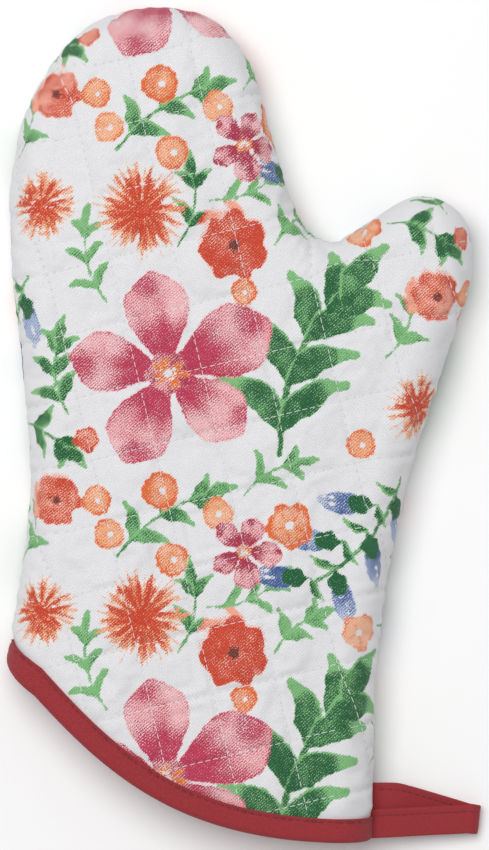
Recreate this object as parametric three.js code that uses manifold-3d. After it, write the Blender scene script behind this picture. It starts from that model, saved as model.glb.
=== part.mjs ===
// Quilted oven mitt, lying flat with its thumb to the right, with a bound cuff and a hanging loop.
//
// Millimetres, +Z up. +X points to the thumb, +Y from the cuff to the finger tips. The origin is on
// the surface that the mitt lies on, under the middle of its outline.
//
// Two panels, front and back, are each a printed cover, a batting and a lining. They are sewn
// together round the hand, turned, and bound at the cuff. Every layer is the space between two
// "pillows": closed shapes with one rounded rim, each set in from the outer one. The layers are cut
// at the side seam, at the cuff, and at the line where the thumb bends.

import * as THREE from 'three';
import { mergeVertices } from 'three/addons/utils/BufferGeometryUtils.js';
import Module from 'manifold-3d';

const wasm = await Module();
wasm.setup();

// ---------------------------------------------------------------- driving dimensions, in mm

const GAP = 0.3; // between pieces that touch
const COVER = 0.6; // printed cotton twill
const BATTING = 4.0;
const LINING = 0.5;
const TAPE = 1.0; // one leaf of the cuff binding

const BINDING_WIDTH = 9; // how far the binding reaches up from the cuff edge
const RIM = 15; // width of the rounded rim, seen from above
const RIM_STEPS = 4; // facets from the side seam to the flat of a panel
const UNDERSIDE_Z = TAPE + GAP; // the binding's own leaf lies below the back panel
const SEAM_Z = 13;
const TOP_Z = 34;

const SEAM_ALLOWANCE = 7; // width of the edges that are sewn together and turned inside
const SEAM_ALLOWANCE_THICK = 3;
const SEAM_THREAD = 1;

const LOOP_WIDTH = 11.5;
const LOOP_THICK = 1.6; // four layers of the binding's cotton
const LOOP_REACH = 39.5; // from the hinge line to the fold
const LOOP_FOLD_RADIUS = 3.4; // of the tape's middle line
const LOOP_ROOT_RADIUS = 1.9;

// How deep each surface lies under the outside of the cover.
const BATTING_TOP = COVER + GAP;
const BATTING_FOOT = BATTING_TOP + BATTING;
const LINING_TOP = BATTING_FOOT + GAP;
const LINING_FOOT = LINING_TOP + LINING;
const INSIDE = LINING_FOOT + GAP;

// The side seam, from the cuff's thumb side over the thumb and the fingers to the other side.
const SEAM_POINTS = [
  [51, -164], [51.1, -137], [52.4, -97], [58.2, -52], [69.3, -6.4], [82, 32], // wrist and thumb's side
  [90.4, 63], [86, 82.5], [69.1, 90.3], [48, 79], // thumb tip
  [38, 72.6], [31.8, 72.2], [26.2, 75.6], [19.6, 86.4], // crotch
  [11.2, 113], [2.5, 142], [-12, 159.5], [-37.3, 165], // fingers
  [-64.7, 155], [-84.5, 127], [-91.8, 98],
  [-91.8, 61], [-87.3, 19], [-84.5, -22], [-87.5, -55], [-93.6, -90], // little finger's side
];
const STEPS_BETWEEN_POINTS = 3;

// The cuff's edge, from the thumb side to the low corner on the other side, as one cubic curve.
const CUFF_EDGE = [[54, -165.1], [-28, -167.5], [-56, -137.5], [-96, -92]];
const CUFF_STEPS = 14;

// The line that the thumb bends along: a point on it, and the direction towards the thumb.
const THUMB_LINE = new THREE.Vector2(53, 30.7);
const THUMB_ANGLE = 20; // degrees from +X

const LOOP_HINGE = new THREE.Vector3(54.6, -153.2, SEAM_Z);
const LOOP_LOW_STRAND_Y = -148; // the strand that returns behind, where it leaves the seam
const LOOP_TOP_STRAND_Y = -158.5;
const LOOP_FOLD_Y = -157;
const LOOP_FOLD_TILT = 7; // degrees, so that the two strands part by twice that

// ---------------------------------------------------------------- materials

const fabric = (colour, roughness) =>
  new THREE.MeshStandardMaterial({ color: colour, roughness, metalness: 0 });

const printedCotton = fabric('#e6e5e8', 0.88);
const wadding = fabric('#f1efe8', 0.95);
const plainCotton = fabric('#ece9e2', 0.9);
const redTwill = fabric('#9b3a3f', 0.85);
const thread = fabric('#d9d6d4', 0.7);

// ---------------------------------------------------------------- solids

function solidOf(positions, triangles) {
  return new wasm.Manifold(new wasm.Mesh({
    numProp: 3,
    vertProperties: Float32Array.from(positions),
    triVerts: Uint32Array.from(triangles),
  }));
}

function solidOfGeometry(geometry) {
  const bare = geometry.clone();
  bare.deleteAttribute('normal');
  bare.deleteAttribute('uv');
  const merged = mergeVertices(bare, 1e-4);
  return solidOf(merged.attributes.position.array, merged.index.array);
}

function meshOf(name, solid, material) {
  const found = solid.getMesh();
  const geometry = new THREE.BufferGeometry();
  geometry.setAttribute('position', new THREE.BufferAttribute(found.vertProperties, 3));
  geometry.setIndex(new THREE.BufferAttribute(found.triVerts, 1));
  geometry.computeVertexNormals();
  const mesh = new THREE.Mesh(geometry, material);
  mesh.name = name;
  return mesh;
}

function box(x0, x1, y0, y1, z0, z1) {
  const geometry = new THREE.BoxGeometry(x1 - x0, y1 - y0, z1 - z0);
  geometry.translate((x0 + x1) / 2, (y0 + y1) / 2, (z0 + z1) / 2);
  return solidOfGeometry(geometry);
}

// ---------------------------------------------------------------- outline

// The seam as closely spaced points, closed by a stretch below the cuff that is cut away later.
function seamContour() {
  const knots = SEAM_POINTS.map(([x, y]) => new THREE.Vector3(x, y, 0));
  const curve = new THREE.CatmullRomCurve3(knots, false, 'centripetal');
  const points = curve.getPoints((knots.length - 1) * STEPS_BETWEEN_POINTS);
  const below = -200;
  return [
    ...points.map((p) => new THREE.Vector2(p.x, p.y)),
    new THREE.Vector2(-104, -130),
    new THREE.Vector2(-108, below),
    new THREE.Vector2(51, below),
  ];
}

// The contour moved inwards by a distance: the contour runs anticlockwise, so inwards is its left.
function movedIn(contour, distance) {
  const count = contour.length;
  const leftOf = (a, b) => new THREE.Vector2(a.y - b.y, b.x - a.x).normalize();
  return contour.map((point, i) => {
    const before = leftOf(contour[(i + count - 1) % count], point);
    const after = leftOf(point, contour[(i + 1) % count]);
    const along = before.clone().add(after).divideScalar(1 + before.dot(after));
    return point.clone().addScaledVector(along, distance);
  });
}

const contour = seamContour();

// A closed solid with a flat top and underside and an elliptic rim, set in from the outer one.
function pillow(inset) {
  const positions = [];
  const triangles = [];
  const count = contour.length;
  const ringCount = 2 * RIM_STEPS + 1;
  let ring = [];
  for (let k = -RIM_STEPS; k <= RIM_STEPS; k++) {
    const angle = (k / RIM_STEPS) * Math.PI / 2;
    const rise = (k < 0 ? SEAM_Z - UNDERSIDE_Z : TOP_Z - SEAM_Z) - inset;
    ring = movedIn(contour, inset + (RIM - inset) * (1 - Math.cos(angle)));
    for (const p of ring) positions.push(p.x, p.y, SEAM_Z + rise * Math.sin(angle));
  }
  for (let k = 0; k + 1 < ringCount; k++) {
    for (let i = 0; i < count; i++) {
      const j = (i + 1) % count;
      const [a, b, c, d] = [k * count + i, k * count + j, (k + 1) * count + j, (k + 1) * count + i];
      triangles.push(a, b, c, a, c, d);
    }
  }
  const top = (ringCount - 1) * count;
  for (const [a, b, c] of THREE.ShapeUtils.triangulateShape(ring, [])) {
    triangles.push(top + a, top + b, top + c);
    triangles.push(a, c, b);
  }
  return solidOf(positions, triangles);
}

// Everything on the hand's side of the cuff's edge, once that edge is moved up by a distance.
function aboveCuff(distance) {
  const [a, b, c, d] = CUFF_EDGE.map(([x, y]) => new THREE.Vector2(x, y));
  const edge = new THREE.CubicBezierCurve(a, b, c, d);
  const shape = new THREE.Shape();
  shape.moveTo(200, 200);
  shape.lineTo(-200, 200);
  const moved = [];
  for (let i = CUFF_STEPS; i >= 0; i--) {
    const at = edge.getPoint(i / CUFF_STEPS);
    const way = edge.getTangent(i / CUFF_STEPS);
    moved.push(at.add(new THREE.Vector2(way.y, -way.x).multiplyScalar(distance)));
  }
  shape.lineTo(-200, moved[0].y + (200 + moved[0].x));
  moved.forEach((p) => shape.lineTo(p.x, p.y));
  shape.lineTo(200, moved[CUFF_STEPS].y);
  const geometry = new THREE.ExtrudeGeometry(shape, { depth: 100, bevelEnabled: false });
  geometry.translate(0, 0, -30);
  return solidOfGeometry(geometry);
}

// A tall block that covers the thumb's side of the bend line, leaving a distance to that line.
function thumbSide(distance) {
  const geometry = new THREE.BoxGeometry(200, 400, 200);
  geometry.translate(100 + distance, 0, 0);
  geometry.rotateZ(THREE.MathUtils.degToRad(THUMB_ANGLE));
  geometry.translate(THUMB_LINE.x, THUMB_LINE.y, 0);
  return solidOfGeometry(geometry);
}

// ---------------------------------------------------------------- hanging loop

// A tape swept through stations: each has the middle of the tape, its width and its thickness ways.
function tape(stations, width, thick) {
  const positions = [];
  const triangles = [];
  const corners = [[-1, -1], [1, -1], [1, 1], [-1, 1]];
  for (const { middle, across, up } of stations) {
    for (const [w, t] of corners) {
      const p = middle.clone()
        .addScaledVector(across, w * width / 2)
        .addScaledVector(up, t * thick / 2);
      positions.push(p.x, p.y, p.z);
    }
  }
  for (let k = 0; k + 1 < stations.length; k++) {
    for (let i = 0; i < 4; i++) {
      const j = (i + 1) % 4;
      const [a, b, c, d] = [4 * k + i, 4 * k + j, 4 * k + 4 + j, 4 * k + 4 + i];
      triangles.push(a, b, c, a, c, d);
    }
  }
  const last = 4 * (stations.length - 1);
  triangles.push(0, 2, 1, 0, 3, 2, last, last + 1, last + 2, last, last + 2, last + 3);
  return solidOf(positions, triangles);
}

// The tape leaves the seam, sinks to the table, turns back under itself and returns to the seam.
function loopStations() {
  const foldWay = THREE.MathUtils.degToRad(90 - LOOP_FOLD_TILT);
  const across = new THREE.Vector3(Math.cos(foldWay), Math.sin(foldWay), 0);
  const outwards = new THREE.Vector3(across.y, -across.x, 0);
  const tip = new THREE.Vector3(LOOP_HINGE.x + LOOP_REACH - LOOP_FOLD_RADIUS, LOOP_FOLD_Y, 0);
  const foldZ = LOOP_FOLD_RADIUS + LOOP_THICK / 2 + GAP;
  const stations = [];
  const strandSteps = 5;
  const strand = (rootY, rootZ, endZ, side) => {
    const made = [];
    for (let i = 0; i <= strandSteps; i++) {
      const t = i / strandSteps;
      const ease = t * t * (3 - 2 * t);
      const middle = new THREE.Vector3(
        THREE.MathUtils.lerp(LOOP_HINGE.x, tip.x, t),
        THREE.MathUtils.lerp(rootY, tip.y, t),
        THREE.MathUtils.lerp(rootZ, endZ, ease),
      );
      const widthWay = new THREE.Vector3(0, 1, 0).lerp(across, t).normalize();
      made.push({ middle, across: widthWay, up: new THREE.Vector3(0, 0, side) });
    }
    return made;
  };
  stations.push(...strand(LOOP_TOP_STRAND_Y, SEAM_Z + 1, foldZ + LOOP_FOLD_RADIUS, 1));
  const foldSteps = 6;
  for (let i = 1; i < foldSteps; i++) {
    const angle = Math.PI * (0.5 - i / foldSteps);
    const up = outwards.clone().multiplyScalar(Math.cos(angle)).setZ(Math.sin(angle));
    const middle = new THREE.Vector3(tip.x, tip.y, foldZ).addScaledVector(up, LOOP_FOLD_RADIUS);
    stations.push({ middle, across, up });
  }
  const back = strand(LOOP_LOW_STRAND_Y, SEAM_Z - 1, foldZ - LOOP_FOLD_RADIUS, -1).reverse();
  return [...stations, ...back];
}

function hangingLoop() {
  const strands = tape(loopStations(), LOOP_WIDTH, LOOP_THICK);
  const low = LOOP_TOP_STRAND_Y - LOOP_WIDTH / 2;
  const high = LOOP_LOW_STRAND_Y + LOOP_WIDTH / 2;
  const root = new THREE.CylinderGeometry(LOOP_ROOT_RADIUS, LOOP_ROOT_RADIUS, high - low, 12);
  root.translate(LOOP_HINGE.x, (low + high) / 2, LOOP_HINGE.z);
  return strands.add(solidOfGeometry(root));
}

// ---------------------------------------------------------------- cloth layers

const onHand = box(-300, 300, -300, 300, -50, 100).subtract(thumbSide(-GAP / 2));
const onThumb = thumbSide(GAP / 2);
const besideWrist = box(0, 300, -300, 30, -50, 100); // the thumb's side, below the bend line
const frontHalf = box(-300, 300, -300, 300, SEAM_Z + GAP / 2, 100);
const backHalf = box(-300, 300, -300, 300, -50, SEAM_Z - GAP / 2);
const insideBinding = aboveCuff(TAPE + GAP);
const clearOfBinding = aboveCuff(BINDING_WIDTH + GAP);

// The two sewn-in ends of the loop, stacked, and the slot that they need in every layer.
const TAIL = { x0: 46.4, x1: 51.2, y0: -163.2, y1: -142.4, z0: SEAM_Z - 1.8, z1: SEAM_Z + 1.8 };
const loopTail = box(TAIL.x0, TAIL.x1, TAIL.y0, TAIL.y1, TAIL.z0, TAIL.z1);
const tailSlot = box(
  TAIL.x0 - GAP, TAIL.x1 + 3, TAIL.y0 - GAP, TAIL.y1 + GAP, TAIL.z0 - GAP, TAIL.z1 + GAP,
);

function layer(outerInset, innerInset) {
  return pillow(outerInset).subtract(pillow(innerInset)).intersect(insideBinding).subtract(tailSlot);
}

const cover = layer(0, COVER);
const batting = layer(BATTING_TOP, BATTING_FOOT);
const lining = layer(LINING_TOP, LINING_FOOT);

// A band that runs round the inside of the side seam, between two depths and two heights.
function seamBand(outerInset, innerInset, thick) {
  const inner = movedIn(contour, innerInset);
  const hole = new THREE.ExtrudeGeometry(new THREE.Shape(inner), { depth: 100, bevelEnabled: false });
  const slab = box(-300, 300, -300, 300, SEAM_Z - thick / 2, SEAM_Z + thick / 2);
  return pillow(outerInset).intersect(slab).subtract(solidOfGeometry(hole)).intersect(clearOfBinding);
}

const threadEnd = INSIDE + SEAM_THREAD;
const seamThread = seamBand(INSIDE, threadEnd, SEAM_THREAD);
const allowance = seamBand(
  threadEnd + GAP, threadEnd + GAP + SEAM_ALLOWANCE, SEAM_ALLOWANCE_THICK,
);

// The binding: a band folded over the cuff's edge, with one leaf outside and one inside the layers.
function cuffBinding() {
  const outside = pillow(-GAP - TAPE).subtract(pillow(INSIDE + TAPE));
  const band = outside.intersect(aboveCuff(0)).subtract(aboveCuff(BINDING_WIDTH));
  const panels = pillow(-GAP).subtract(pillow(INSIDE)).intersect(aboveCuff(TAPE));
  return band.subtract(panels).subtract(tailSlot);
}

// ---------------------------------------------------------------- assembly

const mitt = new THREE.Group();
mitt.name = 'oven_mitt';

const clothPieces = [
  ['cover', cover, printedCotton],
  ['batting', batting, wadding],
  ['lining', lining, plainCotton],
];
for (const [name, solid, material] of clothPieces) {
  for (const [side, half] of [['front', frontHalf], ['back', backHalf]]) {
    const panel = solid.intersect(half);
    mitt.add(meshOf(`${side}_${name}`, panel.intersect(onHand), material));
    mitt.add(meshOf(`thumb_${side}_${name}`, panel.intersect(onThumb), material));
  }
}
for (const [name, solid, material] of [
  ['seam_thread', seamThread, thread],
  ['seam_allowance', allowance, plainCotton],
]) {
  mitt.add(meshOf(`finger_${name}`, solid.intersect(onHand).subtract(besideWrist), material));
  mitt.add(meshOf(`wrist_${name}`, solid.intersect(onHand).intersect(besideWrist), material));
  mitt.add(meshOf(`thumb_${name}`, solid.intersect(onThumb), material));
}
mitt.add(meshOf('cuff_binding', cuffBinding(), redTwill));
mitt.add(meshOf('loop_tail', loopTail, redTwill));
mitt.add(meshOf('hanging_loop', hangingLoop(), redTwill));

export default mitt;
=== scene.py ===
from math import atan2, cos, pi, radians, sin
import bpy
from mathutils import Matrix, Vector
import numpy as np


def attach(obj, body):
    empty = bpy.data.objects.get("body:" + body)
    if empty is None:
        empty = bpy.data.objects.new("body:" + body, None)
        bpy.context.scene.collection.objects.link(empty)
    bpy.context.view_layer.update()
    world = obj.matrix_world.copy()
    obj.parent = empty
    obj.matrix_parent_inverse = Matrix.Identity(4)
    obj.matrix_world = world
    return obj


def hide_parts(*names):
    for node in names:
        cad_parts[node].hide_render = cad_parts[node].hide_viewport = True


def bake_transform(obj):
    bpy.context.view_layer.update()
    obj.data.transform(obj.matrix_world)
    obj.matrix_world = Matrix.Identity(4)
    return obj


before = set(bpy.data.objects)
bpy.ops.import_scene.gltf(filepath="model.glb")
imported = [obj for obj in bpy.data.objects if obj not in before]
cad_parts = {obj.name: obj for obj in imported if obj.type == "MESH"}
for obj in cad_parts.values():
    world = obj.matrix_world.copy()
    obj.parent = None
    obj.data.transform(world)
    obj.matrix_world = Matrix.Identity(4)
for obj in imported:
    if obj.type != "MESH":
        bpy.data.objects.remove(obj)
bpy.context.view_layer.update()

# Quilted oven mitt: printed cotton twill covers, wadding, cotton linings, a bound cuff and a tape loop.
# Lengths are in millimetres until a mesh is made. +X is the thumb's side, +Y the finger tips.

# the cut

cut = {
    "seam": [  # the side seam, from the cuff over the thumb and the fingers, and down the other side
        (51, -164), (51.1, -137), (52.4, -97), (58.2, -52), (69.3, -6.4), (82, 32),
        (90.4, 63), (86, 82.5), (69.1, 90.3), (48, 79),
        (38, 72.6), (31.8, 72.2), (26.2, 75.6), (19.6, 86.4),
        (11.2, 113), (2.5, 142), (-12, 159.5), (-37.3, 165),
        (-64.7, 155), (-84.5, 127), (-91.8, 98),
        (-91.8, 61), (-87.3, 19), (-84.5, -22), (-87.5, -55), (-93.6, -90),
    ],
    "belowCuff": [(-104, -130), (-108, -200), (51, -200)],
    "cuff": [(54, -165.1), (-28, -167.5), (-56, -137.5), (-96, -92)],  # one cubic curve
    "rim": 15,  # width of the rounded rim, seen from above
    "seamZ": 13,
    "topZ": 34,
    "underZ": 1.3,
    "crown": 2.5,  # how much fuller the middle is
}
quilt = {
    "pitch": 25.1,
    "turn": radians(13.4),
    "crossing": (-42.3, -87.4),  # one place where two lines of quilting cross
    "fineSteps": 40,  # mesh cells in one square
    "simStep": 4,  # fine cells in one cell of the cloth simulation
    "groove": 0.3,
    "grooveWidth": 1.2,
}
layers = {  # depth of each face under the outside of the cover
    "cover": 0.0,
    "battingTop": 0.9,
    "battingFoot": 4.9,
    "liningTop": 5.2,
    "liningFoot": 5.7,
}


def smoothRoute(points, steps):  # centripetal Catmull-Rom through every point
    p = np.array(points, float)
    p = np.vstack([2 * p[0] - p[1], p, 2 * p[-1] - p[-2]])
    made = []
    for a, b, c, d in zip(p, p[1:], p[2:], p[3:]):
        ta, tb, tc = [max(np.linalg.norm(w - v), 1e-6) ** 0.5 for v, w in ((a, b), (b, c), (c, d))]
        t = np.linspace(0, 1, steps, endpoint=False)[:, None]
        m1 = tb * ((b - a) / ta - (c - a) / (ta + tb) + (c - b) / tb)
        m2 = tb * ((c - b) / tb - (d - b) / (tb + tc) + (d - c) / tc)
        made.append(
            (2 * t**3 - 3 * t**2 + 1) * b
            + (t**3 - 2 * t**2 + t) * m1
            + (3 * t**2 - 2 * t**3) * c
            + (t**3 - t**2) * m2
        )
    return np.vstack(made + [p[-2:-1]])


def bezier(points, count):
    a, b, c, d = np.array(points, float)
    t = np.linspace(0, 1, count)[:, None]
    return (1 - t) ** 3 * a + 3 * t * (1 - t) ** 2 * b + 3 * t * t * (1 - t) * c + t**3 * d


def smoothStep(low, high, x):
    t = np.clip((x - low) / (high - low), 0, 1)
    return t * t * (3 - 2 * t)


def evenly(corners, gap):  # a straight-sided line with points no further apart than a gap
    made = [np.linspace(a, b, int(np.ceil(np.linalg.norm(b - a) / gap)), endpoint=False)
            for a, b in zip(corners[:-1], corners[1:])]
    return np.vstack(made + [corners[-1:]])


seamLine = smoothRoute(cut["seam"], 14)
belowCuff = np.vstack([seamLine[-1:], np.array(cut["belowCuff"], float), seamLine[:1]])
outline = np.vstack([seamLine[:-1], evenly(belowCuff, 3)])
cuffLine = bezier(cut["cuff"], 160)[::-1]  # runs from the low corner to the thumb's side


def nearest(points, line):  # signed distance to the left of a line, the foot point and the unit way from it
    a, b = line[:-1], line[1:]
    along = b - a
    size2 = (along**2).sum(1)
    left = np.stack([-along[:, 1], along[:, 0]], 1) / np.sqrt(size2)[:, None]
    middles = (a + b) / 2
    distance = np.empty(len(points))
    foot = np.empty((len(points), 2))
    way = np.empty((len(points), 2))
    for start in range(0, len(points), 20000):
        q = points[start:start + 20000]
        first = ((middles**2).sum(1) - 2 * q @ middles.T).argmin(1)
        best = np.full(len(q), np.inf)
        f = np.empty((len(q), 2))
        k = first.copy()
        for step in (-1, 0, 1):
            tried = np.clip(first + step, 0, len(a) - 1)
            t = np.clip(((q - a[tried]) * along[tried]).sum(1) / size2[tried], 0, 1)
            at = a[tried] + t[:, None] * along[tried]
            gap = ((q - at) ** 2).sum(1)
            better = gap < best
            best[better], f[better], k[better] = gap[better], at[better], tried[better]
        off = q - f
        far = np.sqrt(best)
        side = np.where((off * left[k]).sum(1) < 0, -1.0, 1.0)
        w = np.where((far < 0.05)[:, None], left[k], off * side[:, None] / np.maximum(far, 0.05)[:, None])
        part = slice(start, start + len(q))
        distance[part] = far * side
        foot[part] = f
        way[part] = w
    return distance, foot, way


def quarterArc(across, up):  # share of a quarter ellipse's length, for angles from the seam to the top
    angle = np.linspace(0, pi / 2, 200)
    x, z = across * np.cos(angle), up * np.sin(angle)
    steps = np.hypot(np.diff(x), np.diff(z))
    length = np.concatenate([[0], np.cumsum(steps)])
    return length, angle


# places of pattern points on a panel, and the way out of the cloth there
def onPillow(plan, side, depth, lift=0.0, found=None):
    edge, foot, inward = found or nearest(plan, outline)
    across = cut["rim"] - depth
    up = (cut["topZ"] - cut["seamZ"] if side > 0 else cut["seamZ"] - cut["underZ"]) - depth
    length, angle = quarterArc(across, up)
    share = np.clip(edge / cut["rim"], 0, 1)
    a = np.interp(share * length[-1], length, angle)
    d = depth + across * (1 - np.cos(a))
    d = np.where(edge > cut["rim"], edge, d)
    d = np.where(edge < 0, depth + edge, d)
    xy = foot + inward * d[:, None]
    z = cut["seamZ"] + side * up * np.sin(a)
    out = np.column_stack([-inward * (np.cos(a) / across)[:, None], side * np.sin(a) / up])
    out /= np.linalg.norm(out, axis=1)[:, None]
    place = np.column_stack([xy, z]) + out * np.reshape(lift, (-1, 1))
    if side > 0:
        place[:, 2] += cut["crown"] * smoothStep(8, 50, edge)
    return place, out


# where a pattern point lies on the flat cloth, so that the print keeps its size over the rim
def flatPlan(found, side):
    edge, foot, inward = found
    up = cut["topZ"] - cut["seamZ"] if side > 0 else cut["seamZ"] - cut["underZ"]
    length, angle = quarterArc(cut["rim"], up)
    d = np.where(edge < cut["rim"], cut["rim"] - (1 - edge / cut["rim"]) * length[-1], edge)
    return foot + inward * d[:, None]


def latticePlan():
    step = quilt["pitch"] / quilt["fineSteps"]
    u = step * np.array([cos(quilt["turn"]), sin(quilt["turn"])])
    v = step * np.array([-sin(quilt["turn"]), cos(quilt["turn"])])
    rel = seamLine - np.array(quilt["crossing"])
    squares = 1
    low = [int(np.floor((rel @ w).min() / step**2 / quilt["fineSteps"]) - squares) for w in (u, v)]
    high = [int(np.ceil((rel @ w).max() / step**2 / quilt["fineSteps"]) + squares) for w in (u, v)]
    i = np.arange(low[0] * quilt["fineSteps"], high[0] * quilt["fineSteps"] + 1)
    j = np.arange(low[1] * quilt["fineSteps"], high[1] * quilt["fineSteps"] + 1)
    plan = np.array(quilt["crossing"]) + i[:, None, None] * u + j[None, :, None] * v
    return i, j, plan


print("laying out the panels")
rowIndex, columnIndex, fullPlan = latticePlan()
shape = fullPlan.shape[:2]
flat = fullPlan.reshape(-1, 2)
edgeAll, footAll, inwardAll = nearest(flat, outline)
cuffAll = nearest(flat, cuffLine)[0]


# which lattice points and cells a panel with cells of so many steps uses, seam points moved onto the seam
def pickCells(step, cuffMargin):
    grid = np.arange(len(flat)).reshape(shape)[::step, ::step]
    cell = step * quilt["pitch"] / quilt["fineSteps"]
    use = (edgeAll > -0.7 * cell) & (cuffAll > cuffMargin)
    onSeam = use & (edgeAll < 0.36 * cell)
    a, b, c, d = grid[:-1, :-1], grid[1:, :-1], grid[1:, 1:], grid[:-1, 1:]
    corners = np.stack([a, b, c, d], -1).reshape(-1, 4)
    kept = use[corners]
    seamed = onSeam[corners]
    quads = corners[kept.all(1) & ~seamed.all(1)]
    three = corners[kept.sum(1) == 3]
    gap = (~use[three]).argmax(1)
    order = (gap[:, None] + np.arange(1, 4)) % 4
    tris = three[np.arange(len(three))[:, None], order]
    tris = tris[~onSeam[tris].all(1)]
    points = np.unique(np.concatenate([quads.ravel(), tris.ravel()]))
    newIndex = np.full(len(flat), -1)
    newIndex[points] = np.arange(len(points))
    faces = [tuple(f) for f in newIndex[quads].tolist()] + [tuple(f) for f in newIndex[tris].tolist()]
    edge = np.where(onSeam[points], 0.0, edgeAll[points])
    found = (edge, footAll[points], inwardAll[points])
    return {"points": points, "faces": faces, "found": found, "cuff": cuffAll[points], "seam": onSeam[points]}


def makeMesh(name, places, faces):
    mesh = bpy.data.meshes.new(name)
    mesh.from_pydata((np.asarray(places) / 1000).tolist(), [], faces)
    mesh.validate()
    mesh.polygons.foreach_set("use_smooth", np.ones(len(mesh.polygons), bool))
    piece = bpy.data.objects.new(name, mesh)
    bpy.context.collection.objects.link(piece)
    return piece


def facesOutward(piece):
    nothingSelected()
    piece.select_set(True)
    bpy.context.view_layer.objects.active = piece
    bpy.ops.object.mode_set(mode="EDIT")
    bpy.ops.mesh.select_all(action="SELECT")
    bpy.ops.mesh.normals_make_consistent(inside=False)
    bpy.ops.object.mode_set(mode="OBJECT")


def tubeFaces(rings, around):  # walls from ring to ring of points, and a face at each end
    faces = []
    for k in range(rings - 1):
        for i in range(around):
            j = (i + 1) % around
            faces.append((k * around + i, k * around + j, (k + 1) * around + j, (k + 1) * around + i))
    faces.append(tuple(range(around))[::-1])
    faces.append(tuple((rings - 1) * around + i for i in range(around)))
    return faces


def turned(faces, side):  # the back panel's faces run the other way round
    return faces if side > 0 else [f[::-1] for f in faces]


def nothingSelected():
    bpy.ops.object.select_all(action="DESELECT")


# noise, shared by the print and the small unevenness of the cloth

def softNoise(points, size, seed):  # smooth noise from 0 to 1 with patches of about this size
    random = np.random.default_rng(seed)
    table = random.random((64, 64))
    p = points / size + 1000
    cell = np.floor(p).astype(int)
    t = p - cell
    t = t * t * (3 - 2 * t)
    x0, y0 = cell[:, 0] % 64, cell[:, 1] % 64
    x1, y1 = (x0 + 1) % 64, (y0 + 1) % 64
    low = table[x0, y0] * (1 - t[:, 0]) + table[x1, y0] * t[:, 0]
    high = table[x0, y1] * (1 - t[:, 0]) + table[x1, y1] * t[:, 0]
    return low * (1 - t[:, 1]) + high * t[:, 1]


def washNoise(points, size, seed):
    return 0.6 * softNoise(points, size, seed) + 0.4 * softNoise(points, size / 2.3, seed + 1)


# quilting: each square puffs up between its stitched lines, by cloth simulation

puff = {"pressure": 3.2, "growth": 0.035, "frames": 20, "highest": 2.6}


def simulatedPuff(side):  # how far the wadding lifts the cover off its stitched shape, on the whole lattice
    step = quilt["simStep"]
    panel = pickCells(step, 1.0)
    places, out = onPillow(None, side, 0, found=panel["found"])
    lift = np.zeros(len(flat))
    piece = makeMesh("puffing", places, turned(panel["faces"], side))
    i, j = np.unravel_index(panel["points"], shape)
    sewn = (rowIndex[i] % quilt["fineSteps"] == 0) | (columnIndex[j] % quilt["fineSteps"] == 0)
    sewn |= panel["seam"] | (panel["cuff"] < 9)
    group = piece.vertex_groups.new(name="sewn")
    group.add(np.flatnonzero(sewn).tolist(), 1.0, "REPLACE")
    cloth = piece.modifiers.new("cloth", "CLOTH")
    settings = cloth.settings
    settings.vertex_group_mass = "sewn"
    settings.mass = 0.25
    settings.quality = 5
    settings.tension_stiffness = 14
    settings.compression_stiffness = 14
    settings.shear_stiffness = 6
    settings.bending_stiffness = 0.15
    settings.shrink_min = -puff["growth"]
    settings.use_pressure = True
    settings.uniform_pressure_force = puff["pressure"]
    settings.effector_weights.gravity = 0
    cloth.collision_settings.use_collision = False
    cloth.point_cache.frame_end = puff["frames"]
    for f in range(1, puff["frames"] + 1):
        bpy.context.scene.frame_set(f)
    seen = piece.evaluated_get(bpy.context.evaluated_depsgraph_get())
    after = np.empty(len(places) * 3)
    seen.data.vertices.foreach_get("co", after)
    moved = ((after.reshape(-1, 3) * 1000 - places) * out).sum(1)
    bpy.context.scene.frame_set(1)
    mesh = piece.data
    bpy.data.objects.remove(piece)
    bpy.data.meshes.remove(mesh)
    print("  puffs reach", round(float(moved.max()), 2), "mm, mean", round(float(moved.mean()), 2))
    lift[panel["points"]] = np.clip(moved, -0.4, puff["highest"])
    coarse = lift.reshape(shape)[::step, ::step]
    n, m = shape
    rows = np.array([np.interp(np.arange(m), np.arange(0, m, step), r) for r in coarse])
    fine = np.array([np.interp(np.arange(n), np.arange(0, n, step), c) for c in rows.T]).T
    for _ in range(3):
        fine = (np.roll(fine, 1, 0) + 2 * fine + np.roll(fine, -1, 0)) / 4
        fine = (np.roll(fine, 1, 1) + 2 * fine + np.roll(fine, -1, 1)) / 4
    return fine.ravel()


def grooves():  # the narrow dip along each line of quilting, deepest where the thread goes in
    near = quilt["pitch"] / quilt["fineSteps"]
    i = np.abs((rowIndex + quilt["fineSteps"] // 2) % quilt["fineSteps"] - quilt["fineSteps"] // 2) * near
    j = np.abs((columnIndex + quilt["fineSteps"] // 2) % quilt["fineSteps"] - quilt["fineSteps"] // 2) * near
    dip = np.maximum(
        np.exp(-((i / quilt["grooveWidth"]) ** 2))[:, None] * np.ones(shape[1]),
        np.exp(-((j / quilt["grooveWidth"]) ** 2))[None, :] * np.ones(shape[0])[:, None],
    )
    uneven = 0.7 + 0.6 * softNoise(flat, 9, 5).reshape(shape)
    return (-quilt["groove"] * dip * uneven).ravel()


def bindingSqueeze(cuffDistance):  # the binding's topstitch presses the layers flat
    return -1.3 * (1 - smoothStep(7, 15, cuffDistance))


def clothRipple(plan):
    return 0.5 * (washNoise(plan, 21, 31) - 0.5) + 0.25 * (softNoise(plan, 5.5, 33) - 0.5)


print("puffing the quilting")
grooveAll = grooves()
liftAll = {side: simulatedPuff(side) for side in (1, -1)}


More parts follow.
